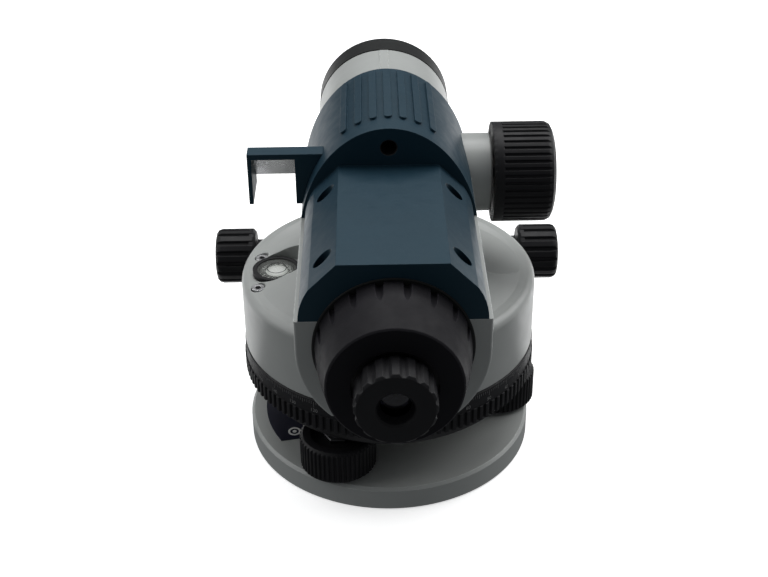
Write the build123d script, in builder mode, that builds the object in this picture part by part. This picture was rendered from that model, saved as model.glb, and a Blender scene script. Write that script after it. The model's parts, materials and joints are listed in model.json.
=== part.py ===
from build123d import *
from math import cos, pi, radians, sin, sqrt
import os

os.makedirs("parts", exist_ok=True)

# Automatic level. Millimetres, +Z up, +Y towards the objective, origin under the base plate.

# ---- driving dimensions -------------------------------------------------------------
BASE_R, BASE_T = 54.2, 9.6             # tripod base plate
THREAD_R = 6.9                         # 5/8 inch tripod thread, minor radius
SCREW_R = 43.0                         # foot screws, radius of their circle
SCREW_ANGLES = (3, 123, 243)           # foot screws, from +X
BALL_R, BALL_Z, SOCKET_R = 4.0, 5.0, 4.35          # ball ends of the foot screws
BUSH_R = 5.2                           # foot screw bushes in the trivet
KNOB_R, KNOB_Z0, KNOB_Z1 = 14.0, 10.6, 24.0        # foot screw knobs
TRIVET_R, TRIVET_Z0, TRIVET_Z1 = 50.0, 26.0, 32.4
CIRCLE_R, CIRCLE_Z0, CIRCLE_Z1 = 55.0, 33.0, 45.2  # horizontal circle
DRUM_R, DRUM_Z0, DRUM_Z1 = 54.4, 45.6, 71.3        # turning drum, up to its rim
ROOF_R, ROOF_Z = 32.0, 78.6            # top of the drum's sloping roof, at the foot of the neck
WHEEL_TEETH, WHEEL_MODULE = 80, 0.75   # drive wheel of the tangent screw
WHEEL_R = WHEEL_TEETH * WHEEL_MODULE / 2
WORM_R = 4.4                           # pitch radius of the worm
WORM_Y, WORM_Z = WHEEL_R + WORM_R, 57.0
AXIS_Z = 102.6                         # telescope axis above the base
SPLIT_Z = 112.3                        # joint between casting and top cover
REAR_Y, STEP_Y, HOOD_Y = -100.2, -37.0, 13.3       # rear face, rear and front ends of the hood
HOOD_A, HOOD_B = 30.0, 41.6            # half axes of the hood's arch about the telescope axis
RIB_PITCH, RIB_WIDTH, RIB_HEIGHT = 4.8, 2.5, 0.8   # ribs of the hood
TUBE_R, TUBE_Y = 26.0, 70.8            # objective tube and its end
RING_R, RING_Y, SEAT_R = 26.1, 84.1, 22.4          # objective ring, its end and its bore
FOCUS_Y, FOCUS_Z, FOCUS_R = 3.8, 108.0, 17.9       # focusing knob's axis and radius
FOCUS_X = 37.8                         # inner face of the focusing knob
PINION_TEETH, PINION_MODULE = 12, 0.4  # focusing pinion
LEVEL_X, LEVEL_Y, LEVEL_FLOOR = -41.1, -3.8, 71.5  # circular level and the floor of its pocket
LEVEL_Z = LEVEL_FLOOR - 3.4            # underside of the level's housing
LEVEL_SCREW_Z = LEVEL_FLOOR - 0.9      # underside of the level's screws
EYE_Y = -130.9                         # outer face of the dioptre knob
NOTCHES, NOTCH_TILT = 18, -3.5         # grooves of the reticle cover, slope in degrees
BRACKET_Y, BRACKET_Z = -28.5, 131.5    # rear face and top of the mirror bracket

BOTTOM = (Align.CENTER, Align.CENTER, Align.MIN)
SCREWS = [(SCREW_R * cos(radians(a)), SCREW_R * sin(radians(a))) for a in SCREW_ANGLES]
COVER_SCREWS = [(x, y) for x in (-20.5, 20.5) for y in (-48.0, -89.0)]


# ---- shared shapes ------------------------------------------------------------------
def turned(points, origin, direction):
    """Solid of revolution; points are (distance along the axis, radius)."""
    normal = (1, 0, 0) if direction == (0, 1, 0) else (0, 1, 0)
    with BuildPart() as solid:
        with BuildSketch(Plane(origin=origin, x_dir=direction, z_dir=normal)):
            with BuildLine():
                Polyline(*points, close=True)
            make_face()
        revolve(axis=Axis(origin, direction))
    return solid.part


def turned_y(points):
    return turned(points, (0, 0, AXIS_Z), (0, 1, 0))


def turned_z(points, x=0, y=0):
    return turned(points, (x, y, 0), (0, 0, 1))


def tube_y(outer, inner, y0, y1):
    return turned_y([(y0, inner), (y1, inner), (y1, outer), (y0, outer)])


def lens(radius, y0, y1, bulge0, bulge1):
    """Lens on the telescope axis between edge planes y0 and y1."""
    def half_way(bulge):
        curve = (radius ** 2 + bulge ** 2) / (2 * bulge)
        side = 1 if bulge > 0 else -1
        return bulge - curve + side * sqrt(curve ** 2 - radius ** 2 / 4)

    with BuildPart() as solid:
        with BuildSketch(Plane(origin=(0, 0, AXIS_Z), x_dir=(0, 1, 0), z_dir=(1, 0, 0))):
            with BuildLine():
                ThreePointArc((y0 - bulge0, 0), (y0 - half_way(bulge0), radius / 2), (y0, radius))
                Line((y0, radius), (y1, radius))
                ThreePointArc((y1, radius), (y1 + half_way(bulge1), radius / 2), (y1 + bulge1, 0))
                Line((y1 + bulge1, 0), (y0 - bulge0, 0))
            make_face()
        revolve(axis=Axis((0, 0, AXIS_Z), (0, 1, 0)))
    return solid.part


def toothed(count, outer, root, flank, land):
    """Points of a toothed disc outline; flank and land are parts of one pitch."""
    points = []
    pitch = 2 * pi / count
    for tooth in range(count):
        middle = tooth * pitch
        for offset, radius in ((-land / 2 - flank, root), (-land / 2, outer),
                               (land / 2, outer), (land / 2 + flank, root)):
            angle = middle + offset * pitch
            points.append((radius * cos(angle), radius * sin(angle)))
    return points


def toothed_bar(points, origin, direction, length):
    normal = (1, 0, 0) if direction == (0, 0, 1) else (0, 0, 1)
    with BuildPart() as solid:
        with BuildSketch(Plane(origin=origin, x_dir=normal, z_dir=direction)):
            with BuildLine():
                Polyline(*points, close=True)
            make_face()
        extrude(amount=length)
    return solid.part


def rear_plane(y):
    """Plane facing the eyepiece; sketch axes are X and Z."""
    return Plane(origin=(0, y, 0), x_dir=(1, 0, 0), z_dir=(0, -1, 0))


def side_prism(points, x0, x1):
    """Prism between x0 and x1 with a (y, z) outline."""
    with BuildPart() as solid:
        with BuildSketch(Plane(origin=(x0, 0, 0), x_dir=(0, 1, 0), z_dir=(1, 0, 0))):
            with BuildLine():
                Polyline(*points, close=True)
            make_face()
        extrude(amount=x1 - x0)
    return solid.part


def front_prism(points, y0, y1):
    """Prism from y0 towards the eyepiece to y1 with an (x, z) outline."""
    with BuildPart() as solid:
        with BuildSketch(rear_plane(y0)):
            with BuildLine():
                Polyline(*points, close=True)
            make_face()
        extrude(amount=y0 - y1)
    return solid.part


def box_between(low, high):
    with BuildPart() as solid:
        with Locations(tuple((a + b) / 2 for a, b in zip(low, high))):
            Box(*[b - a for a, b in zip(low, high)])
    return solid.part


# ---- base plate ---------------------------------------------------------------------
with BuildPart() as base_plate:
    add(turned_z([(0, THREAD_R), (BASE_T, THREAD_R),
                  (BASE_T, BASE_R - 1.0), (BASE_T - 1.0, BASE_R), (0.7, BASE_R), (0, BASE_R - 0.7)]))
    with Locations([(x, y, 0) for x, y in SCREWS]):
        Cylinder(SOCKET_R, BALL_Z, align=BOTTOM, mode=Mode.SUBTRACT)
        Cylinder(2.9, BASE_T, align=BOTTOM, mode=Mode.SUBTRACT)
    with Locations([(x, y, BALL_Z) for x, y in SCREWS]):
        Sphere(SOCKET_R, mode=Mode.SUBTRACT)
base_plate.part.label = "base_plate"
export_step(base_plate.part, "parts/base_plate.step")

with BuildPart() as ball_seat_caps:
    with Locations([(x, y, 0) for x, y in SCREWS]):
        Cylinder(SOCKET_R, 0.7, align=BOTTOM)
ball_seat_caps.part.label = "ball_seat_caps"
export_step(ball_seat_caps.part, "parts/ball_seat_caps.step")

with BuildPart() as base_label:
    with BuildSketch(Plane.XY.offset(BASE_T)):
        with BuildLine():
            inner_a, inner_m, inner_b = [(30.5 * cos(radians(a)), 30.5 * sin(radians(a)))
                                         for a in (135, 179.5, 224)]
            outer_a, outer_m, outer_b = [(48.4 * cos(radians(a)), 48.4 * sin(radians(a)))
                                         for a in (148, 179.5, 211)]
            ThreePointArc(inner_a, inner_m, inner_b)
            Line(inner_b, outer_b)
            ThreePointArc(outer_b, outer_m, outer_a)
            Line(outer_a, inner_a)
        make_face()
    extrude(amount=0.3)
base_label.part.label = "base_label"
export_step(base_label.part, "parts/base_label.step")

# ---- foot screws --------------------------------------------------------------------
with BuildPart() as knob_master:
    add(toothed_bar(toothed(48, KNOB_R, KNOB_R - 0.6, 0.18, 0.36), (0, 0, KNOB_Z0), (0, 0, 1),
                    KNOB_Z1 - KNOB_Z0))
    add(turned_z([(KNOB_Z0, 3.0), (KNOB_Z1 - 2.0, 3.0), (KNOB_Z1 - 2.0, 10.0), (KNOB_Z1, 10.0),
                  (KNOB_Z1, KNOB_R - 1.2), (KNOB_Z1 - 1.2, KNOB_R + 0.1),
                  (KNOB_Z0 + 1.0, KNOB_R + 0.1), (KNOB_Z0, KNOB_R - 1.0)]), mode=Mode.INTERSECT)

with BuildPart() as spindle_master:
    add(turned_z([(BALL_Z + 3.0, 0), (BALL_Z + 3.0, 2.2), (KNOB_Z0, 2.2), (KNOB_Z0, 3.0),
                  (29.0, 3.0), (29.6, 2.4), (29.6, 0)]))
    with Locations((0, 0, BALL_Z)):
        Sphere(BALL_R)

with BuildPart() as foot_screw_knob_1:
    with Locations((SCREWS[0][0], SCREWS[0][1], 0)):
        add(knob_master.part)
foot_screw_knob_1.part.label = "foot_screw_knob_1"
export_step(foot_screw_knob_1.part, "parts/foot_screw_knob_1.step")

with BuildPart() as foot_screw_knob_2:
    with Locations((SCREWS[1][0], SCREWS[1][1], 0)):
        add(knob_master.part)
foot_screw_knob_2.part.label = "foot_screw_knob_2"
export_step(foot_screw_knob_2.part, "parts/foot_screw_knob_2.step")

with BuildPart() as foot_screw_knob_3:
    with Locations((SCREWS[2][0], SCREWS[2][1], 0)):
        add(knob_master.part)
foot_screw_knob_3.part.label = "foot_screw_knob_3"
export_step(foot_screw_knob_3.part, "parts/foot_screw_knob_3.step")

with BuildPart() as foot_screw_spindle_1:
    with Locations((SCREWS[0][0], SCREWS[0][1], 0)):
        add(spindle_master.part)
foot_screw_spindle_1.part.label = "foot_screw_spindle_1"
export_step(foot_screw_spindle_1.part, "parts/foot_screw_spindle_1.step")

with BuildPart() as foot_screw_spindle_2:
    with Locations((SCREWS[1][0], SCREWS[1][1], 0)):
        add(spindle_master.part)
foot_screw_spindle_2.part.label = "foot_screw_spindle_2"
export_step(foot_screw_spindle_2.part, "parts/foot_screw_spindle_2.step")

with BuildPart() as foot_screw_spindle_3:
    with Locations((SCREWS[2][0], SCREWS[2][1], 0)):
        add(spindle_master.part)
foot_screw_spindle_3.part.label = "foot_screw_spindle_3"
export_step(foot_screw_spindle_3.part, "parts/foot_screw_spindle_3.step")

# ---- spring plate -------------------------------------------------------------------
with BuildPart() as spring_plate:
    Cylinder(17.0, 1.2, align=BOTTOM)
    with PolarLocations(20.0, 3, start_angle=65):
        Box(14.0, 12.0, 1.2, align=BOTTOM)
    Cylinder(11.5, 12.0, align=BOTTOM)
    Cylinder(9.4, 12.0, align=BOTTOM, mode=Mode.SUBTRACT)
spring_plate.part.locate(Location((0, 0, 12.4)))
spring_plate.part.label = "spring_plate"
export_step(spring_plate.part, "parts/spring_plate.step")

# ---- trivet -------------------------------------------------------------------------
with BuildPart() as trivet:
    add(turned_z([(TRIVET_Z0, 11.0), (TRIVET_Z0, TRIVET_R - 1.5), (TRIVET_Z0 + 1.5, TRIVET_R),
                  (TRIVET_Z1, TRIVET_R), (TRIVET_Z1, 42.0), (37.7, 42.0), (37.7, 40.0), (44.0, 40.0),
                  (44.0, 35.0), (TRIVET_Z1, 34.0), (TRIVET_Z1, 21.0), (51.7, 21.0), (51.7, 19.0),
                  (61.3, 19.0), (61.3, 16.0), (TRIVET_Z1, 16.0), (TRIVET_Z1, 11.0)]))
    with Locations([(x, y, TRIVET_Z0) for x, y in SCREWS]):
        Cylinder(BUSH_R, 5.8, align=BOTTOM, mode=Mode.SUBTRACT)
trivet.part.label = "trivet"
export_step(trivet.part, "parts/trivet.step")

with BuildPart() as foot_screw_bushes:
    with Locations([(x, y, TRIVET_Z0) for x, y in SCREWS]):
        Cylinder(BUSH_R, 5.8, align=BOTTOM)
        Cylinder(3.9, 5.8, align=BOTTOM, mode=Mode.SUBTRACT)
foot_screw_bushes.part.label = "foot_screw_bushes"
export_step(foot_screw_bushes.part, "parts/foot_screw_bushes.step")

with BuildPart() as vertical_spindle:
    add(turned_z([(TRIVET_Z0 + 0.4, 0), (TRIVET_Z0 + 0.4, 11.0), (TRIVET_Z1, 11.0),
                  (TRIVET_Z1 + 3.0, 11.0), (TRIVET_Z1 + 5.0, 9.0), (67.0, 9.0), (68.0, 8.0),
                  (68.0, 5.0), (70.4, 5.0), (70.4, 0)]))
vertical_spindle.part.label = "vertical_spindle"
export_step(vertical_spindle.part, "parts/vertical_spindle.step")

with BuildPart() as spindle_retainer:
    add(turned_z([(70.4, 0), (70.4, 11.4), (72.0, 11.4), (72.0, 4.0), (72.8, 3.4), (72.8, 0)]))
spindle_retainer.part.label = "spindle_retainer"
export_step(spindle_retainer.part, "parts/spindle_retainer.step")

with BuildPart() as clutch_washer:
    add(turned_z([(61.3, 16.0), (61.3, 23.5), (62.3, 23.5), (62.3, 16.0)]))
clutch_washer.part.label = "clutch_washer"
export_step(clutch_washer.part, "parts/clutch_washer.step")

# ---- horizontal circle --------------------------------------------------------------
with BuildPart() as horizontal_circle:
    add(turned_z([(CIRCLE_Z0 + 6.0, 50.5), (CIRCLE_Z0 + 6.0, CIRCLE_R - 0.4),
                  (CIRCLE_Z1 - 0.5, CIRCLE_R - 0.4), (CIRCLE_Z1, CIRCLE_R - 0.9), (CIRCLE_Z1, 50.5)]))
    add(turned_z([(38.0, 40.4), (38.0, 51.0), (41.0, 51.0), (41.0, 40.4)]))
    add(toothed_bar(toothed(120, CIRCLE_R, CIRCLE_R - 0.9, 0.14, 0.42), (0, 0, CIRCLE_Z0),
                    (0, 0, 1), 6.0))
    with Locations((0, 0, CIRCLE_Z0)):
        Cylinder(50.5, 38.0 - CIRCLE_Z0, align=BOTTOM, mode=Mode.SUBTRACT)
        Cylinder(40.4, 8.0, align=BOTTOM, mode=Mode.SUBTRACT)
horizontal_circle.part.label = "horizontal_circle"
export_step(horizontal_circle.part, "parts/horizontal_circle.step")

# ---- drive wheel --------------------------------------------------------------------
with BuildPart() as drive_wheel:
    add(toothed_bar(toothed(WHEEL_TEETH, WHEEL_R + 0.6, WHEEL_R - 0.95, 0.14, 0.20),
                    (0, 0, WORM_Z - 3.5), (0, 0, 1), 7.0))
    add(turned_z([(52.0, 0), (52.0, 24.0), (61.0, 24.0), (61.0, 0)]))
    Cylinder(19.3, 200, mode=Mode.SUBTRACT)
drive_wheel.part.locate(Rotation(0, 0, 90 + 180 / WHEEL_TEETH))
drive_wheel.part.label = "drive_wheel"
export_step(drive_wheel.part, "parts/drive_wheel.step")

# ---- casting: drum, neck and telescope shell ----------------------------------------
with BuildPart() as telescope_shell:
    with BuildSketch(rear_plane(18.0)):
        with BuildLine():
            Line((-19.0, 77.6), (19.0, 77.6))
            ThreePointArc((19.0, 77.6), (26.4, 88.0), (29.2, 101.0))
            Polyline((29.2, 101.0), (29.2, SPLIT_Z), (-29.2, SPLIT_Z), (-29.2, 101.0))
            ThreePointArc((-29.2, 101.0), (-26.4, 88.0), (-19.0, 77.6))
        make_face()
    extrude(amount=18.0 - REAR_Y)
    below = telescope_shell.edges().filter_by_position(Axis.Z, 77.0, SPLIT_Z - 1.0)
    fillet(below.filter_by_position(Axis.Y, REAR_Y - 0.1, REAR_Y + 0.1)
           + below.filter_by(Axis.Y).filter_by_position(Axis.Z, 77.0, 78.0), 0.8)


def worm_boss(side):
    """Boss round a bush of the worm shaft, inside the drum's outline."""
    with BuildPart() as boss:
        add(turned([(side * 34.0, 0), (side * 34.0, 8.4), (side * 50.0, 8.4), (side * 50.0, 0)],
                   (0, WORM_Y, WORM_Z), (1, 0, 0)))
        Cylinder(DRUM_R - 0.5, 200, mode=Mode.INTERSECT)
    return boss.part


# shallow recess in the roof on the focusing side, running out at the rim
with BuildPart() as roof_recess:
    with BuildSketch(Plane.XY.offset(68.0)) as recess_outline:
        with BuildLine():
            Polyline((35.4, -13.8), (41.0, -11.9), (47.4, -7.3), (56.0, 3.0), (56.0, 27.0), (35.4, 23.2),
                     close=True)
        make_face()
        fillet(recess_outline.vertices(), 1.2)
    extrude(amount=20.0)
    add(front_prism([(30.0, 76.0), (50.0, 71.6), (60.0, 69.4), (60.0, 95.0), (30.0, 95.0)], 40.0, -40.0),
        mode=Mode.INTERSECT)

with BuildPart() as body_casting:
    # drum with sloping roof
    with BuildSketch(Plane.XZ):
        with BuildLine():
            Polyline((0, DRUM_Z0), (DRUM_R, DRUM_Z0), (DRUM_R, DRUM_Z1 - 3.2))
            ThreePointArc((DRUM_R, DRUM_Z1 - 3.2), (DRUM_R - 0.95, DRUM_Z1 - 0.95),
                          (DRUM_R - 3.2, DRUM_Z1))
            Polyline((DRUM_R - 3.2, DRUM_Z1), (49.0, DRUM_Z1 + 0.5), (ROOF_R, ROOF_Z))
            ThreePointArc((ROOF_R, ROOF_Z), (ROOF_R - 2.2, ROOF_Z + 2.2), (ROOF_R - 3.0, ROOF_Z + 6.0))
            Polyline((ROOF_R - 3.0, ROOF_Z + 6.0), (0, ROOF_Z + 6.0), (0, DRUM_Z0))
        make_face()
    revolve(axis=Axis.Z)
    # neck
    with BuildSketch(Plane.XY.offset(70.0)):
        RectangleRounded(56.0, 70.0, 12.0)
    extrude(amount=26.0)
    add(telescope_shell.part)
    # objective end
    add(turned_y([(8.0, 0), (8.0, 28.2), (18.0, 28.2), (30.0, TUBE_R), (TUBE_Y, TUBE_R), (TUBE_Y, 0)]))
    # moulded strip along the objective end
    add(box_between((-1.6, 14.0, AXIS_Z + 20.0), (1.6, TUBE_Y - 0.4, AXIS_Z + TUBE_R + 0.25)))
    # worm bosses
    for side in (-1, 1):
        add(worm_boss(side))
    # drum cavity, leaving the spindle hub
    add(turned_z([(DRUM_Z0, 0), (DRUM_Z0, 51.4), (65.0, 51.4), (66.6, 48.0), (66.6, 28.0),
                  (73.4, 26.0), (73.4, 15.6), (63.0, 15.6), (63.0, 0)]), mode=Mode.SUBTRACT)
    add(turned_z([(62.0, 0), (62.0, 13.0), (73.4, 13.0), (73.4, 0)]), mode=Mode.SUBTRACT)
    # bushes of the worm shaft
    for side in (-1, 1):
        add(turned([(side * 30.0, 0), (side * 30.0, 6.4), (side * 56.0, 6.4), (side * 56.0, 0)],
                   (0, WORM_Y, WORM_Z), (1, 0, 0)), mode=Mode.SUBTRACT)
    # telescope cavity
    with BuildSketch(rear_plane(16.0)):
        with Locations((0, AXIS_Z)):
            Ellipse(25.0, 22.6)
        with Locations((0, AXIS_Z + 15.0)):
            Rectangle(50.0, 30.0)
    extrude(amount=16.0 - REAR_Y - 3.0, mode=Mode.SUBTRACT)
    add(turned_y([(-20.0, 0), (-20.0, 22.6), (TUBE_Y + 1, 22.6), (TUBE_Y + 1, 0)]),
        mode=Mode.SUBTRACT)
    add(turned_y([(REAR_Y - 1, 0), (REAR_Y - 1, 15.0), (-90.0, 15.0), (-90.0, 0)]),
        mode=Mode.SUBTRACT)
    add(box_between((-40, -110, SPLIT_Z), (40, 10.5, 150)), mode=Mode.SUBTRACT)
    # focusing boss
    add(turned([(22.4, 0), (22.4, 14.0), (FOCUS_X - 1.6, 14.0), (FOCUS_X - 1.0, 13.4),
                (FOCUS_X - 1.0, 0)], (0, FOCUS_Y, FOCUS_Z), (1, 0, 0)))
    add(turned([(18.0, 0), (18.0, 6.0), (41.0, 6.0), (41.0, 0)], (0, FOCUS_Y, FOCUS_Z), (1, 0, 0)),
        mode=Mode.SUBTRACT)
    # rails under the compensator and screw pillars for the cover
    for side in (-1, 1):
        add(box_between((side * 8.5 - 2.5, -64.0, 79.0), (side * 8.5 + 2.5, -41.0, 83.5)))
    with Locations([(x, y, 88.0) for x, y in COVER_SCREWS]):
        Cylinder(4.6, SPLIT_Z - 88.0, align=BOTTOM)
    with Locations([(x, y, 100.0) for x, y in COVER_SCREWS]):
        Cylinder(1.5, 20.0, align=BOTTOM, mode=Mode.SUBTRACT)
    # pocket of the circular level
    with Locations((LEVEL_X, LEVEL_Y, LEVEL_FLOOR), (LEVEL_X + 4.0, LEVEL_Y + 0.8, LEVEL_FLOOR)):
        Cylinder(9.3, 12.0, align=BOTTOM, mode=Mode.SUBTRACT)
    with Locations((LEVEL_X, LEVEL_Y, LEVEL_Z)):
        Cylinder(8.8, 6.0, align=BOTTOM, mode=Mode.SUBTRACT)
    with Locations((LEVEL_X, LEVEL_Y, LEVEL_SCREW_Z)):
        with PolarLocations(12.4, 3):
            Cylinder(2.7, 9.0, align=BOTTOM, mode=Mode.SUBTRACT)
    add(roof_recess.part, mode=Mode.SUBTRACT)
body_casting.part.label = "body_casting"
export_step(body_casting.part, "parts/body_casting.step")

# ---- bearing, drum floor, worm bushes -----------------------------------------------
with BuildPart() as bearing_sleeve:
    add(turned_z([(46.4, 9.4), (46.4, 13.0), (70.0, 13.0), (70.0, 9.4)]))
bearing_sleeve.part.label = "bearing_sleeve"
export_step(bearing_sleeve.part, "parts/bearing_sleeve.step")

with BuildPart() as drum_floor:
    add(turned_z([(46.4, 21.8), (46.4, 51.4), (48.2, 51.4), (48.2, 26.0), (50.6, 26.0), (50.6, 21.8)]))
    with PolarLocations(46.0, 3, start_angle=35):
        Cylinder(1.6, 200, mode=Mode.SUBTRACT)
drum_floor.part.label = "drum_floor"
export_step(drum_floor.part, "parts/drum_floor.step")

with BuildPart() as worm_bushes:
    for side in (-1, 1):
        add(turned([(side * 34.2, 2.8), (side * 34.2, 6.4), (side * 51.3, 6.4), (side * 51.3, 2.8)],
                   (0, WORM_Y, WORM_Z), (1, 0, 0)))
worm_bushes.part.label = "worm_bushes"
export_step(worm_bushes.part, "parts/worm_bushes.step")

# ---- tangent screw ------------------------------------------------------------------
WORM_PITCH = pi * WHEEL_MODULE
WORM_ROOT = WORM_R - 0.95
WORM_LENGTH = 7 * WORM_PITCH
worm_start = Plane(origin=(-WORM_LENGTH / 2, WORM_Y, WORM_Z), x_dir=(0, 1, 0), z_dir=(1, 0, 0))
with BuildPart() as worm_thread:
    with BuildLine():
        helix = Helix(pitch=WORM_PITCH, height=WORM_LENGTH, radius=WORM_ROOT)
    with BuildSketch(Plane(origin=(WORM_ROOT, 0, 0), x_dir=(1, 0, 0), z_dir=(0, -1, 0))):
        with BuildLine():
            Polyline((-0.6, -0.27 * WORM_PITCH), (0, -0.27 * WORM_PITCH), (1.55, -0.1 * WORM_PITCH),
                     (1.55, 0.1 * WORM_PITCH), (0, 0.27 * WORM_PITCH), (-0.6, 0.27 * WORM_PITCH),
                     close=True)
        make_face()
    sweep(path=helix, is_frenet=True)
    with Locations((0, 0, -1.0)):
        Cylinder(WORM_ROOT + 0.05, WORM_LENGTH + 2.0, align=BOTTOM)

with BuildPart() as worm_shaft:
    add(worm_start.from_local_coords(worm_thread.part))
    add(turned([(-52.4, 0), (-52.4, 2.5), (52.4, 2.5), (52.4, 0)], (0, WORM_Y, WORM_Z), (1, 0, 0)))
worm_shaft.part.label = "worm_shaft"
export_step(worm_shaft.part, "parts/worm_shaft.step")

with BuildPart() as tangent_master:
    add(toothed_bar(toothed(16, 10.8, 9.9, 0.14, 0.50), (51.8, 0, 0), (1, 0, 0), 15.7))
    add(turned([(51.8, 0), (51.8, 9.6), (53.0, 10.9), (64.8, 10.9), (66.4, 10.4), (67.2, 9.5), (67.5, 8.2),
                (67.5, 0)], (0, 0, 0), (1, 0, 0)), mode=Mode.INTERSECT)
    # smooth collar on the inner side
    add(turned([(51.8, 0), (51.8, 9.4), (52.6, 10.5), (54.2, 10.5), (54.2, 0)], (0, 0, 0), (1, 0, 0)))
    add(turned([(51.0, 0), (51.0, 2.5), (52.4, 2.5), (52.4, 0)], (0, 0, 0), (1, 0, 0)),
        mode=Mode.SUBTRACT)

with BuildPart() as tangent_knob_right:
    with Locations((0, WORM_Y, WORM_Z)):
        add(tangent_master.part)
tangent_knob_right.part.label = "tangent_knob_right"
export_step(tangent_knob_right.part, "parts/tangent_knob_right.step")

with BuildPart() as tangent_knob_left:
    with Locations(Location((0, WORM_Y, WORM_Z), (0, 0, 180))):
        add(tangent_master.part)
tangent_knob_left.part.label = "tangent_knob_left"
export_step(tangent_knob_left.part, "parts/tangent_knob_left.step")


# ---- top cover ----------------------------------------------------------------------
def cover_section(inset, y0, y1):
    """Box part of the cover between y0 and y1 (y0 nearer the objective)."""
    with BuildPart() as solid:
        with BuildSketch(rear_plane(y0)):
            with BuildLine():
                Line((-16.3 + inset * 0.4, 131.2 - inset), (16.3 - inset * 0.4, 131.2 - inset))
                Line((16.3 - inset * 0.4, 131.2 - inset), (24.5 - inset, 123.0 - inset * 0.4))
                ThreePointArc((24.5 - inset, 123.0 - inset * 0.4), (27.0 - inset, 117.9),
                              (27.9 - inset, SPLIT_Z))
                Line((27.9 - inset, SPLIT_Z), (-27.9 + inset, SPLIT_Z))
                ThreePointArc((-27.9 + inset, SPLIT_Z), (-27.0 + inset, 117.9),
                              (-24.5 + inset, 123.0 - inset * 0.4))
                Line((-24.5 + inset, 123.0 - inset * 0.4), (-16.3 + inset * 0.4, 131.2 - inset))
            make_face()
        extrude(amount=y0 - y1)
    return solid.part


def hood_section(inset, y0, y1):
    """Arched part of the cover, above the joint with the casting."""
    with BuildPart() as solid:
        with BuildSketch(rear_plane(y0)):
            with Locations((0, AXIS_Z)):
                Ellipse(HOOD_A - inset, HOOD_B - inset)
            with Locations((0, SPLIT_Z - 30.0)):
                Rectangle(80.0, 60.0, mode=Mode.SUBTRACT)
        extrude(amount=y0 - y1)
    return solid.part


with BuildPart() as hood_envelope:
    add(hood_section(0.0, HOOD_Y, STEP_Y))

with BuildPart() as cover_cavity:
    add(cover_section(2.4, HOOD_Y - 30.0, REAR_Y + 2.4))
    add(hood_section(2.4, HOOD_Y - 2.4, STEP_Y + 2.4))
    with Locations([(x, y, SPLIT_Z) for x, y in COVER_SCREWS]):
        Cylinder(4.6, 20.0, align=BOTTOM, mode=Mode.SUBTRACT)

with BuildPart() as top_cover:
    add(cover_section(0.0, HOOD_Y - 30.0, REAR_Y))
    add(hood_section(0.0, HOOD_Y, STEP_Y))
    # raised ribs with rounded ends, square to the arch
    for rib in range(-3, 4):
        rib_x = rib * RIB_PITCH
        rib_z = HOOD_B * sqrt(1 - (rib_x / HOOD_A) ** 2)
        square = (rib_x / HOOD_A ** 2, 0, rib_z / HOOD_B ** 2)
        rib_plane = Plane(origin=(rib_x, -9.0, AXIS_Z + rib_z), x_dir=(0, 1, 0), z_dir=square)
        with BuildSketch(rib_plane.offset(-1.5)):
            SlotOverall(40.0, RIB_WIDTH)
        extrude(amount=1.5 + RIB_HEIGHT)
    add(cover_cavity.part, mode=Mode.SUBTRACT)
    # counterbored screw holes
    with Locations([(x, y, SPLIT_Z) for x, y in COVER_SCREWS]):
        Cylinder(1.7, 4.0, align=BOTTOM, mode=Mode.SUBTRACT)
    with Locations([(x, y, SPLIT_Z + 3.0) for x, y in COVER_SCREWS]):
        Cylinder(2.8, 24.0, align=BOTTOM, mode=Mode.SUBTRACT)
    # peep sight, eyepiece opening, objective tube opening, focusing boss
    add(turned([(-60.0, 0), (-60.0, 2.9), (30.0, 2.9), (30.0, 0)], (0, 0, 137.4), (0, 1, 0)),
        mode=Mode.SUBTRACT)
    add(turned_y([(REAR_Y - 1, 0), (REAR_Y - 1, 15.0), (-90.0, 15.0), (-90.0, 0)]),
        mode=Mode.SUBTRACT)
    add(turned_y([(8.0, 0), (8.0, 28.2), (20.0, 28.2), (20.0, 0)]), mode=Mode.SUBTRACT)
    add(turned([(15.0, 0), (15.0, 14.3), (45.0, 14.3), (45.0, 0)], (0, FOCUS_Y, FOCUS_Z), (1, 0, 0)),
        mode=Mode.SUBTRACT)
top_cover.part.label = "top_cover"
export_step(top_cover.part, "parts/top_cover.step")

with BuildPart() as top_cover_screws:
    for x, y in COVER_SCREWS:
        add(turned_z([(101.0, 0), (101.0, 1.5), (SPLIT_Z + 3.0, 1.5), (SPLIT_Z + 3.0, 2.7),
                      (SPLIT_Z + 5.4, 2.7), (SPLIT_Z + 5.4, 1.1), (SPLIT_Z + 4.0, 1.1),
                      (SPLIT_Z + 4.0, 0)], x, y))
top_cover_screws.part.label = "top_cover_screws"
export_step(top_cover_screws.part, "parts/top_cover_screws.step")

# ---- mirror and its bracket ---------------------------------------------------------
CHEEK_Z = 113.2                       # underside of the two cheeks
MIRROR_TOP, MIRROR_END = BRACKET_Z - 1.9, 118.0
MIRROR_X0, MIRROR_X1 = -45.4, -31.0


def bracket_prism(points, x0, x1):
    """Prism across the bracket; lengths along the telescope are from the bracket's rear face."""
    return side_prism([(BRACKET_Y + along, height) for along, height in points], x0, x1)


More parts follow.
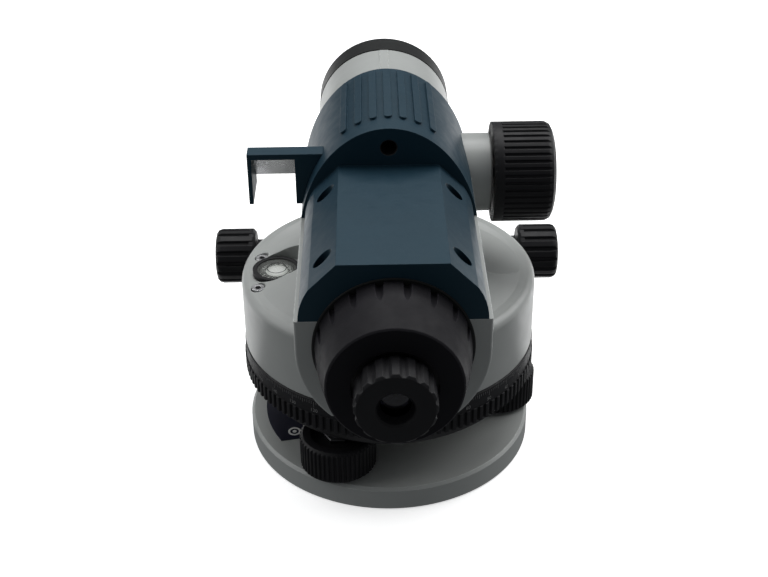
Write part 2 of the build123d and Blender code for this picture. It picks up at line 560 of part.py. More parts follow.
cheek = [(0, CHEEK_Z), (0, BRACKET_Z), (5.9, BRACKET_Z), (17.0, 119.5), (17.0, CHEEK_Z)]
with BuildPart() as mirror_bracket:
    add(bracket_prism(cheek, MIRROR_X0 - 1.4, MIRROR_X0))
    add(bracket_prism(cheek, MIRROR_X1, -18.0))
    add(bracket_prism([(0, MIRROR_TOP), (0, BRACKET_Z), (5.9, BRACKET_Z), (5.9, MIRROR_TOP)],
                      MIRROR_X0 - 1.4, -18.0))
    add(bracket_prism([(2.7, MIRROR_TOP), (5.9, MIRROR_TOP), (16.9, MIRROR_END), (14.3, MIRROR_END)],
                      MIRROR_X0, MIRROR_X1))
    add(hood_envelope.part, mode=Mode.SUBTRACT)
mirror_bracket.part.label = "mirror_bracket"
export_step(mirror_bracket.part, "parts/mirror_bracket.step")

with BuildPart() as level_mirror:
    add(bracket_prism([(1.4, MIRROR_TOP), (2.7, MIRROR_TOP), (14.3, MIRROR_END), (13.0, MIRROR_END)],
                      MIRROR_X0, MIRROR_X1))
level_mirror.part.label = "level_mirror"
export_step(level_mirror.part, "parts/level_mirror.step")


# ---- circular level -----------------------------------------------------------------
def level_turned(points):
    """Turned piece of the level; heights are above the underside of its housing."""
    return turned_z([(LEVEL_Z + height, radius) for height, radius in points], LEVEL_X, LEVEL_Y)


with BuildPart() as level_housing:
    add(level_turned([(0, 0), (0, 8.8), (5.4, 8.8), (5.4, 7.2), (1.2, 7.2), (1.2, 0)]))
level_housing.part.label = "level_housing"
export_step(level_housing.part, "parts/level_housing.step")

with BuildPart() as level_vial:
    add(level_turned([(1.2, 0), (1.2, 7.2), (5.0, 7.2), (5.2, 6.6), (5.4, 4.0), (5.45, 0),
                      (4.25, 0), (4.2, 4.0), (4.0, 6.2), (2.2, 6.2), (2.2, 0)]))
level_vial.part.label = "level_vial"
export_step(level_vial.part, "parts/level_vial.step")

with BuildPart() as level_liquid:
    add(level_turned([(2.2, 0), (2.2, 6.2), (4.0, 6.2), (4.2, 4.0), (4.21, 3.0), (3.9, 3.0),
                      (3.5, 1.4), (3.4, 0)]))
level_liquid.part.label = "level_liquid"
export_step(level_liquid.part, "parts/level_liquid.step")

with BuildPart() as level_bubble:
    add(level_turned([(3.4, 0), (3.5, 1.4), (3.9, 3.0), (4.21, 3.0), (4.25, 0)]))
level_bubble.part.label = "level_bubble"
export_step(level_bubble.part, "parts/level_bubble.step")

with BuildPart() as level_screws:
    with BuildSketch(Plane.XY.offset(LEVEL_SCREW_Z)):
        with Locations((LEVEL_X, LEVEL_Y)):
            with PolarLocations(12.4, 3):
                Circle(2.3)
    extrude(amount=1.3)
    with BuildSketch(Plane.XY.offset(LEVEL_SCREW_Z + 0.4)):
        with Locations((LEVEL_X, LEVEL_Y)):
            with PolarLocations(12.4, 3):
                RegularPolygon(1.15, 6)
    extrude(amount=2.0, mode=Mode.SUBTRACT)
level_screws.part.label = "level_screws"
export_step(level_screws.part, "parts/level_screws.step")

# ---- objective ----------------------------------------------------------------------
with BuildPart() as objective_ring:
    # a narrow groove parts the ring from the tube
    add(turned_y([(62.0, 20.0), (80.6, 20.0), (80.6, SEAT_R), (RING_Y, SEAT_R), (RING_Y, 25.3),
                  (RING_Y - 0.8, RING_R), (TUBE_Y + 0.8, RING_R), (TUBE_Y + 0.8, 25.2), (TUBE_Y, 25.2),
                  (TUBE_Y, 22.6), (62.0, 22.6)]))
objective_ring.part.label = "objective_ring"
export_step(objective_ring.part, "parts/objective_ring.step")

with BuildPart() as objective_cell:
    add(turned_y([(60.0, 16.6), (65.5, 16.6), (65.5, 18.2), (80.4, 18.2), (80.4, 20.0), (62.0, 20.0),
                  (62.0, 21.4), (60.0, 21.4)]))
objective_cell.part.label = "objective_cell"
export_step(objective_cell.part, "parts/objective_cell.step")

with BuildPart() as objective_lens_front:
    add(lens(18.2, 73.2, 76.6, -0.9, 2.2))
objective_lens_front.part.label = "objective_lens_front"
export_step(objective_lens_front.part, "parts/objective_lens_front.step")

with BuildPart() as objective_lens_rear:
    add(lens(18.2, 66.5, 71.6, 0.8, 1.2))
objective_lens_rear.part.label = "objective_lens_rear"
export_step(objective_lens_rear.part, "parts/objective_lens_rear.step")

# ---- focusing -----------------------------------------------------------------------
with BuildPart() as focus_sleeve:
    add(tube_y(22.6, 20.0, -20.0, 33.0))
    add(box_between((13.0, -21.0, 100.4), (26.0, 34.0, 112.6)), mode=Mode.SUBTRACT)
focus_sleeve.part.label = "focus_sleeve"
export_step(focus_sleeve.part, "parts/focus_sleeve.step")

RACK_Z = FOCUS_Z - PINION_TEETH * PINION_MODULE / 2
RACK_PITCH = pi * PINION_MODULE
with BuildPart() as focus_carriage:
    add(turned_y([(-9.0, 14.0), (4.8, 14.0), (4.8, 12.8), (6.0, 12.8), (6.0, 14.0), (20.0, 14.0),
                  (20.0, 19.6), (-9.0, 19.6)]))
    rack = [(FOCUS_Y - 12.8, 101.4)]
    for tooth in range(-10, 10):
        middle = FOCUS_Y + (tooth + 0.5) * RACK_PITCH
        rack += [(middle - 0.36 * RACK_PITCH, RACK_Z - 0.5), (middle - 0.12 * RACK_PITCH, RACK_Z + 0.34),
                 (middle + 0.12 * RACK_PITCH, RACK_Z + 0.34), (middle + 0.36 * RACK_PITCH, RACK_Z - 0.5)]
    rack += [(FOCUS_Y + 12.8, RACK_Z - 0.5), (FOCUS_Y + 12.8, 101.4)]
    rack.insert(1, (FOCUS_Y - 12.8, RACK_Z - 0.5))
    add(side_prism(rack, 17.4, 22.0))
focus_carriage.part.label = "focus_carriage"
export_step(focus_carriage.part, "parts/focus_carriage.step")

with BuildPart() as focus_lens:
    add(lens(14.0, 6.0, 10.5, -1.2, -1.0))
focus_lens.part.label = "focus_lens"
export_step(focus_lens.part, "parts/focus_lens.step")

with BuildPart() as focus_pinion_shaft:
    add(toothed_bar(toothed(PINION_TEETH, 2.75, 1.85, 0.20, 0.22), (20.2, FOCUS_Y, FOCUS_Z),
                    (1, 0, 0), 2.0))
    add(turned([(22.2, 0), (22.2, 2.2), (FOCUS_X + 15.0, 2.2), (FOCUS_X + 15.0, 0)],
               (0, FOCUS_Y, FOCUS_Z), (1, 0, 0)))
focus_pinion_shaft.part.label = "focus_pinion_shaft"
export_step(focus_pinion_shaft.part, "parts/focus_pinion_shaft.step")

with BuildPart() as focus_bush:
    add(turned([(25.4, 2.6), (25.4, 6.0), (FOCUS_X - 1.0, 6.0), (FOCUS_X - 1.0, 2.6)],
               (0, FOCUS_Y, FOCUS_Z), (1, 0, 0)))
focus_bush.part.label = "focus_bush"
export_step(focus_bush.part, "parts/focus_bush.step")

def focus_turned(points):
    """Turned piece on the focusing shaft; distances are from the knob's inner face."""
    return turned([(FOCUS_X + along, radius) for along, radius in points], (0, FOCUS_Y, FOCUS_Z), (1, 0, 0))


with BuildPart() as focus_knob:
    add(toothed_bar(toothed(44, FOCUS_R, FOCUS_R - 0.6, 0.14, 0.50), (FOCUS_X - 0.4, FOCUS_Y, FOCUS_Z),
                    (1, 0, 0), 21.3))
    add(focus_turned([(-0.4, 0), (-0.4, FOCUS_R), (16.0, FOCUS_R + 0.1), (18.6, FOCUS_R - 0.1),
                      (20.1, FOCUS_R - 0.9), (20.9, FOCUS_R - 2.4), (20.9, 0)]), mode=Mode.INTERSECT)
    # smooth band and recess at the inner end
    add(focus_turned([(-0.4, 0), (-0.4, 16.8), (0.6, FOCUS_R), (2.8, FOCUS_R), (2.8, 0)]))
    add(focus_turned([(-0.5, 0), (-0.5, 15.6), (0, 15.0), (0, 0)]), mode=Mode.SUBTRACT)
    add(focus_turned([(-2.0, 0), (-2.0, 2.2), (15.0, 2.2), (15.0, 0)]), mode=Mode.SUBTRACT)
focus_knob.part.label = "focus_knob"
export_step(focus_knob.part, "parts/focus_knob.step")

# ---- compensator --------------------------------------------------------------------
with BuildPart() as compensator_frame:
    add(box_between((-13.2, -62.0, 83.5), (13.2, -43.0, 85.3)))
    add(box_between((-13.2, -60.0, 119.2), (13.2, -45.0, 121.0)))
    for side in (-1, 1):
        add(box_between((side * 12.3 - 0.9, -62.0, 85.3), (side * 12.3 + 0.9, -43.0, 121.0)))
        add(box_between((side * 8.65 - 2.75, -47.5, 98.0), (side * 8.65 + 2.75, -43.0, 107.0)))
        add(box_between((side * 8.65 - 2.75, -62.0, 98.0), (side * 8.65 + 2.75, -57.5, 107.0)))
compensator_frame.part.label = "compensator_frame"
export_step(compensator_frame.part, "parts/compensator_frame.step")

with BuildPart() as fixed_prisms:
    add(side_prism([(-43.0, 107.0), (-43.0, 98.0), (-52.0, 98.0)], -5.9, 5.9))
    add(side_prism([(-62.0, 107.0), (-62.0, 98.0), (-53.0, 98.0)], -5.9, 5.9))
fixed_prisms.part.label = "fixed_prisms"
export_step(fixed_prisms.part, "parts/fixed_prisms.step")

with BuildPart() as pendulum:
    for side in (-1, 1):
        add(box_between((side * 6.9 - 0.6, -56.0, 86.0), (side * 6.9 + 0.6, -49.0, 114.0)))
    add(box_between((-7.5, -56.0, 86.0), (7.5, -49.0, 87.2)))
    add(box_between((-7.5, -56.0, 112.4), (7.5, -49.0, 114.0)))
pendulum.part.label = "pendulum"
export_step(pendulum.part, "parts/pendulum.step")

with BuildPart() as pendulum_prism:
    add(side_prism([(-61.5, 96.5), (-43.5, 96.5), (-52.5, 87.5)], -6.3, 6.3))
pendulum_prism.part.label = "pendulum_prism"
export_step(pendulum_prism.part, "parts/pendulum_prism.step")

with BuildPart() as suspension_wires:
    with Locations([(x, y, 114.4) for x in (-6.0, 6.0) for y in (-54.5, -50.5)]):
        Cylinder(0.15, 4.8, align=BOTTOM)
suspension_wires.part.label = "suspension_wires"
export_step(suspension_wires.part, "parts/suspension_wires.step")

with BuildPart() as damping_magnets:
    for y in (-60.0, -45.0):
        add(box_between((-4.5, y - 2.0, 85.3), (4.5, y + 2.0, 88.6)))
damping_magnets.part.label = "damping_magnets"
export_step(damping_magnets.part, "parts/damping_magnets.step")

# ---- reticle and eyepiece -----------------------------------------------------------
with BuildPart() as eyepiece_tube:
    add(turned_y([(-117.5, 10.0), (-117.5, 12.9), (-117.0, 13.4), (-104.8, 13.4), (-104.8, 17.5),
                  (REAR_Y, 17.5), (REAR_Y, 15.0), (-94.0, 15.0), (-94.0, 12.6), (-104.3, 12.6),
                  (-104.3, 10.0)]))
    for angle in (90, 210, 330):
        add(turned([(11.0, 0), (11.0, 1.1), (20.0, 1.1), (20.0, 0)], (0, 0, 0), (0, 0, 1))
            .rotate(Axis.Y, angle - 90).translate((0, -102.0, AXIS_Z)), mode=Mode.SUBTRACT)
eyepiece_tube.part.label = "eyepiece_tube"
export_step(eyepiece_tube.part, "parts/eyepiece_tube.step")

with BuildPart() as reticle_mount:
    add(tube_y(11.4, 7.5, -103.6, -99.6))
reticle_mount.part.label = "reticle_mount"
export_step(reticle_mount.part, "parts/reticle_mount.step")

with BuildPart() as reticle_glass:
    add(tube_y(7.5, 0, -102.4, -101.0))
reticle_glass.part.label = "reticle_glass"
export_step(reticle_glass.part, "parts/reticle_glass.step")

with BuildPart() as reticle_screws:
    for angle in (90, 210, 330):
        add(turned([(11.4, 0), (11.4, 1.1), (17.5, 1.1), (17.5, 1.8), (18.7, 1.8), (18.7, 0)],
                   (0, 0, 0), (0, 0, 1))
            .rotate(Axis.Y, angle - 90).translate((0, -102.0, AXIS_Z)))
reticle_screws.part.label = "reticle_screws"
export_step(reticle_screws.part, "parts/reticle_screws.step")

with BuildPart() as reticle_cover:
    add(turned_y([(-120.5, 12.6), (-120.5, 19.5), (-120.0, 20.0), (-112.0, 21.9), (-106.0, 22.9),
                  (-102.0, 23.3), (-100.6, 23.3), (-100.6, 20.2), (-106.5, 20.2), (-112.0, 19.4),
                  (-118.2, 17.8), (-118.2, 12.6)]))
    # finger notches at the body side, running out along the cone
    for notch in range(NOTCHES):
        with BuildPart(mode=Mode.PRIVATE) as groove:
            with Locations(Location((0, -104.0, 23.35), (90 + NOTCH_TILT, 0, 0))):
                Cylinder(1.25, 9.0)
                with Locations((0, 0, 4.5)):
                    Sphere(1.25)
        add(groove.part.rotate(Axis.Y, (notch + 0.5) * 360 / NOTCHES).translate((0, 0, AXIS_Z)),
            mode=Mode.SUBTRACT)
reticle_cover.part.label = "reticle_cover"
export_step(reticle_cover.part, "parts/reticle_cover.step")

with BuildPart() as ocular_barrel:
    add(turned_y([(-127.4, 9.6), (-107.0, 9.6), (-107.0, 7.6), (-127.4, 7.6)]))
ocular_barrel.part.label = "ocular_barrel"
export_step(ocular_barrel.part, "parts/ocular_barrel.step")

with BuildPart() as eye_lens:
    add(lens(7.6, -125.5, -123.0, 1.0, 1.0))
eye_lens.part.label = "eye_lens"
export_step(eye_lens.part, "parts/eye_lens.step")

with BuildPart() as field_lens:
    add(lens(7.6, -111.5, -109.0, 0.3, 1.0))
field_lens.part.label = "field_lens"
export_step(field_lens.part, "parts/field_lens.step")

with BuildPart() as dioptre_knob:
    add(toothed_bar(toothed(16, 11.9, 11.2, 0.20, 0.42), (0, EYE_Y, AXIS_Z), (0, 1, 0),
                    -121.1 - EYE_Y))
    add(turned_y([(EYE_Y, 0), (EYE_Y, 11.1), (EYE_Y + 0.8, 12.0), (-121.6, 12.0), (-121.1, 11.5),
                  (-121.1, 0)]), mode=Mode.INTERSECT)
    add(turned_y([(EYE_Y - 0.1, 0), (EYE_Y - 0.1, 6.0), (EYE_Y + 0.6, 5.3), (-127.7, 4.4),
                  (-127.7, 9.95), (-121.0, 9.95), (-121.0, 0)]), mode=Mode.SUBTRACT)
dioptre_knob.part.label = "dioptre_knob"
export_step(dioptre_knob.part, "parts/dioptre_knob.step")
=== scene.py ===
import json
import math

import bmesh
import bpy
from mathutils import Matrix, Vector


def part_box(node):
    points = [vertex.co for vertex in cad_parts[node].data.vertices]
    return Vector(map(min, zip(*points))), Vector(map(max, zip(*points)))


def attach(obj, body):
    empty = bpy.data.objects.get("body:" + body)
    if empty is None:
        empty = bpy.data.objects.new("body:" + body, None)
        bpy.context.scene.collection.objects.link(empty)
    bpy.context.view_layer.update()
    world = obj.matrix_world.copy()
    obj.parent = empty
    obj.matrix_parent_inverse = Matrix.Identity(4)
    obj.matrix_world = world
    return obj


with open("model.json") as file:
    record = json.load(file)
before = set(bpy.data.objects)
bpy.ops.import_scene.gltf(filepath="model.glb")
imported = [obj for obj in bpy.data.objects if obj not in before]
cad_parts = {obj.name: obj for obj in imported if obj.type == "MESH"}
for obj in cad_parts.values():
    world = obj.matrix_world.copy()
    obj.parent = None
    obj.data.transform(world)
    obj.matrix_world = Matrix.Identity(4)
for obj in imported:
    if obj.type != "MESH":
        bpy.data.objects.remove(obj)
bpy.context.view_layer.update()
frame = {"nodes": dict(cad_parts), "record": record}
MM = 0.001


# ---- camera and light ---------------------------------------------------------------
CAMERA_TARGET = Vector((-1.6, 0.0, 61.6)) * MM
CAMERA_DISTANCE = 493.1 * MM
CAMERA_ELEVATION = math.radians(31.6)
CAMERA_AZIMUTH = math.radians(-0.6)
CAMERA_ROLL = math.radians(-0.6)
CAMERA_LENS = 61.5
LIGHT_TARGET = (0.0, 0.0, 0.08)
SOFTBOXES = (
    # name, place, size, watts
    ("top_softbox", (0.0, 0.42, 1.05), (1.2, 0.8), 10.0),
    ("left_softbox", (-0.90, 0.10, 0.60), (0.8, 0.8), 3.2),
    ("right_softbox", (0.85, 0.32, 0.72), (0.8, 0.8), 5.6),
)
SKY_COLOR = (0.94, 0.97, 1.0, 1.0)
SKY_STRENGTH = 0.17
FLOOR_REACH = 3.0
FLOOR_GLOW = 0.62
SHEEN_CARD_CORNERS = ((-1.6, 0.02), (1.6, 2.2))
SHEEN_CARD_HEIGHT = 0.5 * MM
SHEEN_CARD_GLOW = 0.50


def add_camera():
    back = Vector((math.sin(CAMERA_AZIMUTH) * math.cos(CAMERA_ELEVATION),
                   -math.cos(CAMERA_AZIMUTH) * math.cos(CAMERA_ELEVATION),
                   math.sin(CAMERA_ELEVATION)))
    right = (-back).cross(Vector((0, 0, 1))).normalized()
    up = right.cross(-back)
    rolled_right = right * math.cos(CAMERA_ROLL) + up * math.sin(CAMERA_ROLL)
    rolled_up = up * math.cos(CAMERA_ROLL) - right * math.sin(CAMERA_ROLL)
    data = bpy.data.cameras.new("camera")
    data.sensor_width = 36.0
    data.lens = CAMERA_LENS
    data.clip_start = 0.01
    camera = bpy.data.objects.new("camera", data)
    turn = Matrix((rolled_right, rolled_up, back)).transposed().to_4x4()
    camera.matrix_world = Matrix.Translation(CAMERA_TARGET + back * CAMERA_DISTANCE) @ turn
    bpy.context.scene.collection.objects.link(camera)
    bpy.context.scene.camera = camera


def add_softbox(name, place, size, power):
    data = bpy.data.lights.new(name, "AREA")
    data.shape = "RECTANGLE"
    data.size, data.size_y = size
    data.energy = power
    light = bpy.data.objects.new(name, data)
    light.location = place
    light.rotation_euler = (Vector(LIGHT_TARGET) - Vector(place)).to_track_quat("-Z", "Y").to_euler()
    bpy.context.scene.collection.objects.link(light)


def add_studio():
    world = bpy.data.worlds.new("studio")
    world.use_nodes = True
    background = world.node_tree.nodes["Background"]
    background.inputs["Color"].default_value = SKY_COLOR
    background.inputs["Strength"].default_value = SKY_STRENGTH
    bpy.context.scene.world = world
    for name, place, size, power in SOFTBOXES:
        add_softbox(name, place, size, power)
    bpy.context.scene.view_settings.view_transform = "Standard"


# ---- materials ----------------------------------------------------------------------
def new_material(name):
    material = bpy.data.materials.new(name)
    material.use_nodes = True
    tree = material.node_tree
    return material, tree, tree.nodes["Principled BSDF"]


def noise(tree, scale, detail=3.0, roughness=0.55, stretch=None):
    place = tree.nodes.new("ShaderNodeTexCoord")
    texture = tree.nodes.new("ShaderNodeTexNoise")
    texture.inputs["Scale"].default_value = scale
    texture.inputs["Detail"].default_value = detail
    texture.inputs["Roughness"].default_value = roughness
    if stretch:
        mapping = tree.nodes.new("ShaderNodeMapping")
        mapping.inputs["Scale"].default_value = stretch
        tree.links.new(place.outputs["Object"], mapping.inputs["Vector"])
        tree.links.new(mapping.outputs["Vector"], texture.inputs["Vector"])
    else:
        tree.links.new(place.outputs["Object"], texture.inputs["Vector"])
    return texture.outputs["Fac"]


def span(tree, value, low, high, from_low=0.0, from_high=1.0):
    node = tree.nodes.new("ShaderNodeMapRange")
    node.inputs["From Min"].default_value = from_low
    node.inputs["From Max"].default_value = from_high
    node.inputs["To Min"].default_value = low
    node.inputs["To Max"].default_value = high
    tree.links.new(value, node.inputs["Value"])
    return node.outputs["Result"]


def mix_color(tree, factor, first, second):
    node = tree.nodes.new("ShaderNodeMix")
    node.data_type = "RGBA"
    a = [s for s in node.inputs if s.name == "A" and s.type == "RGBA"][0]
    b = [s for s in node.inputs if s.name == "B" and s.type == "RGBA"][0]
    f = [s for s in node.inputs if s.name == "Factor" and s.type == "VALUE"][0]
    tree.links.new(factor, f)
    for socket, value in ((a, first), (b, second)):
        if isinstance(value, tuple):
            socket.default_value = value + (1.0,)
        else:
            tree.links.new(value, socket)
    return [s for s in node.outputs if s.type == "RGBA"][0]


def edge_mask(tree, radius):
    """1 along edges and 0 on flats, with the rounded normal that goes with it."""
    bevel = tree.nodes.new("ShaderNodeBevel")
    bevel.samples = 6
    bevel.inputs["Radius"].default_value = radius
    geometry = tree.nodes.new("ShaderNodeNewGeometry")
    dot = tree.nodes.new("ShaderNodeVectorMath")
    dot.operation = "DOT_PRODUCT"
    tree.links.new(bevel.outputs["Normal"], dot.inputs[0])
    tree.links.new(geometry.outputs["Normal"], dot.inputs[1])
    return span(tree, dot.outputs["Value"], 1.0, 0.0, 0.80, 0.995), bevel.outputs["Normal"]


def moulded(name, color, roughness=(0.4, 0.5), metallic=0.0, grain=2600.0, depth=0.000012, mottle=0.08,
            edge=0.0004, edge_gain=1.35, coat=0.0, stretch=None, specular=0.5, gloss_tint=(1, 1, 1)):
    """A solid surface with grain, slow mottling, uneven gloss, and edges painted lighter: partly wear,
    partly painted highlight.
    """
    material, tree, shader = new_material(name)
    shader.inputs["Metallic"].default_value = metallic
    shader.inputs["Specular IOR Level"].default_value = specular
    shader.inputs["Specular Tint"].default_value = (*gloss_tint, 1.0)
    shader.inputs["Coat Weight"].default_value = coat
    shader.inputs["Coat Roughness"].default_value = 0.25
    dark = tuple(c * (1 - mottle) for c in color)
    light = tuple(min(1.0, c * (1 + mottle)) for c in color)
    body = mix_color(tree, span(tree, noise(tree, 60.0, 4.0), 0.0, 1.0, 0.3, 0.7), dark, light)
    mask, rounded = edge_mask(tree, edge)
    # edge_gain lightens the colour along the edges: painted highlight, partly wear, broken up by noise
    edge_wear_and_highlight = tuple(min(1.0, c * edge_gain + 0.01) for c in color)
    broken = tree.nodes.new("ShaderNodeMath")
    broken.operation = "MULTIPLY"
    tree.links.new(mask, broken.inputs[0])
    tree.links.new(span(tree, noise(tree, 400.0, 2.0), 0.2, 0.9, 0.35, 0.65), broken.inputs[1])
    tree.links.new(mix_color(tree, broken.outputs[0], body, edge_wear_and_highlight), shader.inputs["Base Color"])
    tree.links.new(span(tree, noise(tree, 220.0, 3.0), roughness[0], roughness[1], 0.3, 0.7),
                   shader.inputs["Roughness"])
    bump = tree.nodes.new("ShaderNodeBump")
    bump.inputs["Strength"].default_value = 0.6
    bump.inputs["Distance"].default_value = depth
    tree.links.new(noise(tree, grain, 2.0, 0.5, stretch), bump.inputs["Height"])
    tree.links.new(rounded, bump.inputs["Normal"])
    tree.links.new(bump.outputs["Normal"], shader.inputs["Normal"])
    return material


def clear(name, color, ior, coat=0.0):
    """Solid glass that bends light."""
    material, tree, shader = new_material(name)
    shader.inputs["Transmission Weight"].default_value = 1.0
    shader.inputs["IOR"].default_value = ior
    shader.inputs["Coat Weight"].default_value = coat
    tint = mix_color(tree, noise(tree, 90.0), color, tuple(c * 0.97 for c in color))
    tree.links.new(tint, shader.inputs["Base Color"])
    tree.links.new(span(tree, noise(tree, 500.0), 0.01, 0.04), shader.inputs["Roughness"])
    return material


def shell_glass(name, color, see_through):
    """Thin clear cover that light passes straight through, with a faint sheen."""
    material, tree, shader = new_material(name)
    tint = mix_color(tree, noise(tree, 90.0), color, tuple(c * 0.97 for c in color))
    tree.links.new(tint, shader.inputs["Base Color"])
    tree.links.new(span(tree, noise(tree, 500.0), 0.06, 0.12), shader.inputs["Roughness"])
    tree.links.new(span(tree, noise(tree, 60.0), see_through, see_through + 0.04), shader.inputs["Alpha"])
    return material


GREY = (0.37, 0.385, 0.375)
BLUE = (0.0075, 0.026, 0.042)
BLACK = (0.0075, 0.0075, 0.009)
# an edge_gain well above 1 paints a light line along the edges: painted highlight, partly wear
MATERIALS = {
    "grey_paint": moulded("grey_paint", GREY, (0.36, 0.46), grain=1900.0, depth=0.000014, mottle=0.03,
                          edge=0.0005, edge_gain=2.3, coat=0.15),
    "black_plastic": moulded("black_plastic", BLACK, (0.42, 0.55), grain=3200.0, depth=0.000016,
                             mottle=0.15, edge_gain=1.9, specular=0.25),
    "blue_plastic": moulded("blue_plastic", BLUE, (0.42, 0.52), grain=3000.0, depth=0.000018, mottle=0.05,
                            edge=0.0003, edge_gain=2.2, specular=0.35, gloss_tint=(0.62, 0.88, 1.0)),
    "steel": moulded("steel", (0.55, 0.55, 0.56), (0.22, 0.36), metallic=1.0, grain=900.0,
                     depth=0.000006, mottle=0.05, edge_gain=1.1, stretch=(1.0, 1.0, 14.0)),
    "black_paint": moulded("black_paint", (0.016, 0.016, 0.017), (0.38, 0.5), grain=2400.0,
                           depth=0.000012, mottle=0.15, edge_gain=2.5),
    "brass": moulded("brass", (0.72, 0.50, 0.22), (0.25, 0.38), metallic=1.0, grain=800.0,
                     depth=0.000006, mottle=0.08, edge_gain=1.1, stretch=(1.0, 12.0, 1.0)),
    "aluminium": moulded("aluminium", (0.62, 0.63, 0.64), (0.30, 0.42), metallic=1.0, grain=900.0,
                         depth=0.000006, mottle=0.05, edge_gain=1.05, stretch=(1.0, 12.0, 1.0)),
    "glass": clear("glass", (0.93, 0.97, 0.95), 1.52),
    "mirror": moulded("mirror", (0.66, 0.66, 0.68), (0.22, 0.28), metallic=1.0, grain=300.0,
                      depth=0.000001, mottle=0.01, edge=0.0002, edge_gain=0.9),
    "label": moulded("label", (0.004, 0.005, 0.018), (0.28, 0.36), grain=1500.0, depth=0.000006,
                     mottle=0.08, edge_gain=1.6, coat=0.2),
    "liquid": moulded("liquid", (0.80, 0.82, 0.78), (0.10, 0.16), grain=300.0, depth=0.000002, mottle=0.03,
                      edge_gain=1.1),
    "bubble": moulded("bubble", (0.95, 0.96, 0.94), (0.08, 0.12), grain=300.0, depth=0.000002, mottle=0.02,
                      edge_gain=1.1),
    "dark_ring": moulded("dark_ring", (0.009, 0.010, 0.010), (0.42, 0.52), grain=2600.0,
                         depth=0.000012, mottle=0.08, edge_gain=1.8, specular=0.25),
}
# nodes that look different from the rest of their slot
NODE_MATERIALS = {
    # edge_gain 6.0 paints a bright line along the cover's edges: a painted highlight
    "reticle_cover": moulded("cover_plastic", (0.0105, 0.010, 0.0125), (0.50, 0.62), grain=3000.0,
                             depth=0.000018, mottle=0.15, edge_gain=6.0, specular=0.12),
    # the eye lens is tinted almost black: painted shade for the dark inside of the telescope seen through it
    "eye_lens": clear("eye_glass_painted_shade", (0.02, 0.02, 0.03), 1.52, coat=0.2),
    "level_vial": shell_glass("vial_glass", (0.70, 0.73, 0.69), 0.14),
}
# steel with a dark colour, used for the foot-screw nuts
DARK_STEEL = moulded("dark_steel", (0.10, 0.10, 0.105), (0.26, 0.40), metallic=1.0, grain=900.0,
                          depth=0.000006, mottle=0.10, edge_gain=1.6)
MARKING = moulded("marking_white", (0.70, 0.70, 0.68), (0.5, 0.6), grain=2500.0, depth=0.000004, mottle=0.05,
                  edge_gain=1.0)
FAINT_MARKING = moulded("marking_faint", (0.20, 0.20, 0.20), (0.5, 0.6), grain=2500.0, depth=0.000004,
                        mottle=0.25, edge_gain=1.0)


def paint_cad_nodes():
    for entry in frame["record"]["subparts"]:
        node = frame["nodes"][entry["node"]]
        for material_slot in node.material_slots:
            material_slot.material = NODE_MATERIALS.get(entry["node"], MATERIALS[entry["material_slot"]])


# ---- mesh helpers -------------------------------------------------------------------
def piece(name, build, material, body, smooth=True):
    """A mesh object made by build(bmesh), riding on a CAD body."""
    mesh = bpy.data.meshes.new(name)
    shape = bmesh.new()
    build(shape)
    bmesh.ops.recalc_face_normals(shape, faces=shape.faces)
    shape.to_mesh(mesh)
    shape.free()
    mesh.materials.append(material)
    if smooth:
        for polygon in mesh.polygons:
            polygon.use_smooth = True
        mesh.set_sharp_from_angle(angle=math.radians(35))
    made = bpy.data.objects.new(name, mesh)
    bpy.context.scene.collection.objects.link(made)
    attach(made, body)
    return made


def lathe(profile, origin, axis, steps=96):
    """Builder of a closed (distance, radius) profile turned about an axis."""
    direction = Vector(axis)
    side = Vector((0, 0, 1)) if abs(direction.z) < 0.5 else Vector((1, 0, 0))
    other = direction.cross(side)

    def build(shape):
        rings = []
        for step in range(steps):
            angle = 2 * math.pi * step / steps
            outward = side * math.cos(angle) + other * math.sin(angle)
            rings.append([shape.verts.new(Vector(origin) + direction * d + outward * r)
                          for d, r in profile])
        count = len(profile)
        for step in range(steps):
            ring, after = rings[step], rings[(step + 1) % steps]
            for i in range(count):
                j = (i + 1) % count
                shape.faces.new((ring[i], ring[j], after[j], after[i]))
    return build


def block(shape, placing, size):
    """Adds a small flat mark or bar to a bmesh."""
    made = bmesh.ops.create_cube(shape, size=1.0)
    bmesh.ops.scale(shape, vec=Vector(size), verts=made["verts"])
    bmesh.ops.transform(shape, matrix=placing, verts=made["verts"])


def box_centre(low, high):
    return Vector([(a + b) / 2 for a, b in zip(low, high)])


def helix(radius, height, z0, z1, pitch, centre, steps=28):
    """Builder of a triangular thread ridge on a vertical screw; height below 0 stands inwards."""
    def build(shape):
        turns = (z1 - z0) / pitch
        total = int(turns * steps)
        rows = []
        for i in range(total + 1):
            angle = 2 * math.pi * i / steps
            middle = z0 + pitch * i / steps
            fade = min(1.0, i / 6, (total - i) / 6)
            rows.append([shape.verts.new((centre[0] + r * math.cos(angle),
                                          centre[1] + r * math.sin(angle), z))
                         for r, z in ((radius, middle - pitch * 0.45),
                                      (radius + height * fade, middle),
                                      (radius, middle + pitch * 0.45))])
        for a, b in zip(rows, rows[1:]):
            for i in range(3):
                j = (i + 1) % 3
                shape.faces.new((a[i], a[j], b[j], b[i]))
        shape.faces.new(rows[0])
        shape.faces.new(list(reversed(rows[-1])))
    return build


# ---- horizontal circle scale --------------------------------------------------------
TICK_LONG, TICK_MIDDLE, TICK_SHORT = 2.4 * MM, 1.7 * MM, 1.1 * MM
TICK_WIDTH, TICK_THICKNESS = 0.14 * MM, 0.08 * MM
NUMBER_SIZE, NUMBER_DROP = 2.0 * MM, 4.3 * MM


